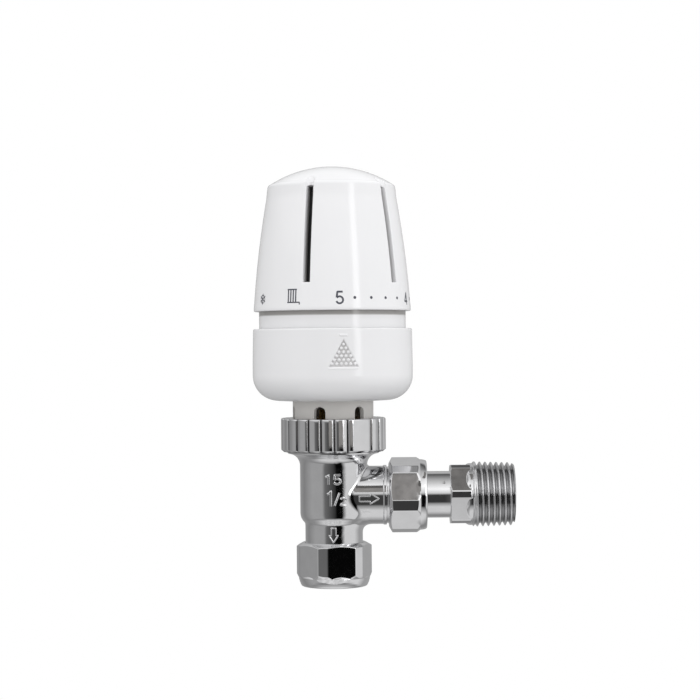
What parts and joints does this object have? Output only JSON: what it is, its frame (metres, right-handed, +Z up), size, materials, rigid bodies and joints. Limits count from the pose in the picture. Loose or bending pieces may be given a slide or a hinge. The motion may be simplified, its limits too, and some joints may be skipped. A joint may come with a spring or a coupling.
{
  "type": "thermostatic radiator valve",
  "caption": "Angle radiator valve with a compression inlet, a union tail and a white sensing head whose slotted dial turns to set the room temperature.",
  "frame": {"origin": "centre of the mouth of the inlet nut, where the pipe enters", "axes": "+Z up the valve and head axis, +X along the outlet towards the radiator, -Y towards the side with the setting pointer"},
  "size_m": [0.0853, 0.0526, 0.137],
  "materials": {
    "body_chrome": "plated casting",
    "nut_chrome": "bright plating",
    "tail_chrome": "bright plating",
    "knurl_chrome": "satin plating",
    "brass": "machined",
    "stainless": "turned",
    "spring_steel": "drawn",
    "seal_rubber": "moulded",
    "capsule_metal": "drawn",
    "black_plastic": "moulded",
    "sleeve_plastic": "moulded",
    "guide_plastic": "moulded",
    "collar_plastic": "gloss moulded",
    "cap_plastic": "gloss moulded"
  },
  "bodies": {
    "valve": {"valve_body": "body_chrome", "bonnet": "brass", "bonnet_o_ring": "seal_rubber", "gland_nut": "brass", "spindle_o_ring": "seal_rubber", "spring_seat": "brass", "return_spring": "spring_steel"},
    "spindle_group": {"spindle": "stainless", "spindle_clip": "spring_steel", "disc_holder": "brass", "valve_disc": "seal_rubber", "disc_nut": "brass"},
    "inlet_olive_group": {"inlet_olive": "brass"},
    "inlet_nut_group": {"compression_nut": "nut_chrome"},
    "tail_group": {"tail_piece": "tail_chrome", "tail_olive": "brass"},
    "union_nut_group": {"union_nut": "nut_chrome"},
    "head_base": {"mounting_sleeve": "sleeve_plastic", "base_collar": "collar_plastic", "guide_ring": "guide_plastic"},
    "head_nut_group": {"head_nut": "knurl_chrome"},
    "plunger_group": {"push_plunger": "black_plastic", "overtravel_spring": "spring_steel"},
    "sensor_group": {"sensor_capsule": "capsule_metal", "sensor_piston": "stainless"},
    "dial": {"dial_cap": "cap_plastic", "dial_insert": "black_plastic", "sensor_retainer": "spring_steel"}
  },
  "joints": [
    {"name": "spindle_travel", "type": "slide", "parent": "valve", "child": "spindle_group", "axis": [0, 0, 1], "range_m": [-0.003, 0.00004], "deforming": ["return_spring"]},
    {"name": "inlet_olive_travel", "type": "slide", "parent": "valve", "child": "inlet_olive_group", "axis": [0, 0, 1], "range_m": [-0.00712, 0]},
    {"name": "compression_nut_turn", "type": "hinge", "parent": "inlet_olive_group", "child": "inlet_nut_group", "pos_m": [0, 0, 0], "axis": [0, 0, 1], "range_deg": [-1710, 0]},
    {"name": "tail_draw", "type": "slide", "parent": "valve", "child": "tail_group", "axis": [1, 0, 0], "range_m": [0, 0.00712]},
    {"name": "union_nut_turn", "type": "hinge", "parent": "tail_group", "child": "union_nut_group", "pos_m": [0, 0, 0.0295], "axis": [1, 0, 0], "range_deg": [0, 1710]},
    {"name": "head_lift", "type": "slide", "parent": "valve", "child": "head_base", "axis": [0, 0, 1], "range_m": [0, 0.00712]},
    {"name": "head_nut_turn", "type": "hinge", "parent": "head_base", "child": "head_nut_group", "pos_m": [0, 0, 0], "axis": [0, 0, 1], "range_deg": [0, 1710]},
    {"name": "push_travel", "type": "slide", "parent": "head_base", "child": "plunger_group", "axis": [0, 0, 1], "range_m": [-0.003, 0.00004]},
    {"name": "dial_lift", "type": "slide", "parent": "head_base", "child": "sensor_group", "axis": [0, 0, 1], "range_m": [-0.00485, 0.00005], "deforming": ["overtravel_spring"]},
    {"name": "dial_turn", "type": "hinge", "parent": "sensor_group", "child": "dial", "pos_m": [0, 0, 0], "axis": [0, 0, 1], "range_deg": [-291.2, 3.2]}
  ],
  "couplings": [
    {"joint": "dial_turn", "follows": "dial_lift", "rad_per_m": 1047.2},
    {"joint": "push_travel", "follows": "dial_lift", "ratio": 0.61813},
    {"joint": "spindle_travel", "follows": "dial_lift", "ratio": 0.61813},
    {"joint": "compression_nut_turn", "follows": "inlet_olive_travel", "rad_per_m": 4188.8},
    {"joint": "union_nut_turn", "follows": "tail_draw", "rad_per_m": 4188.8},
    {"joint": "head_nut_turn", "follows": "head_lift", "rad_per_m": 4188.8}
  ]
}
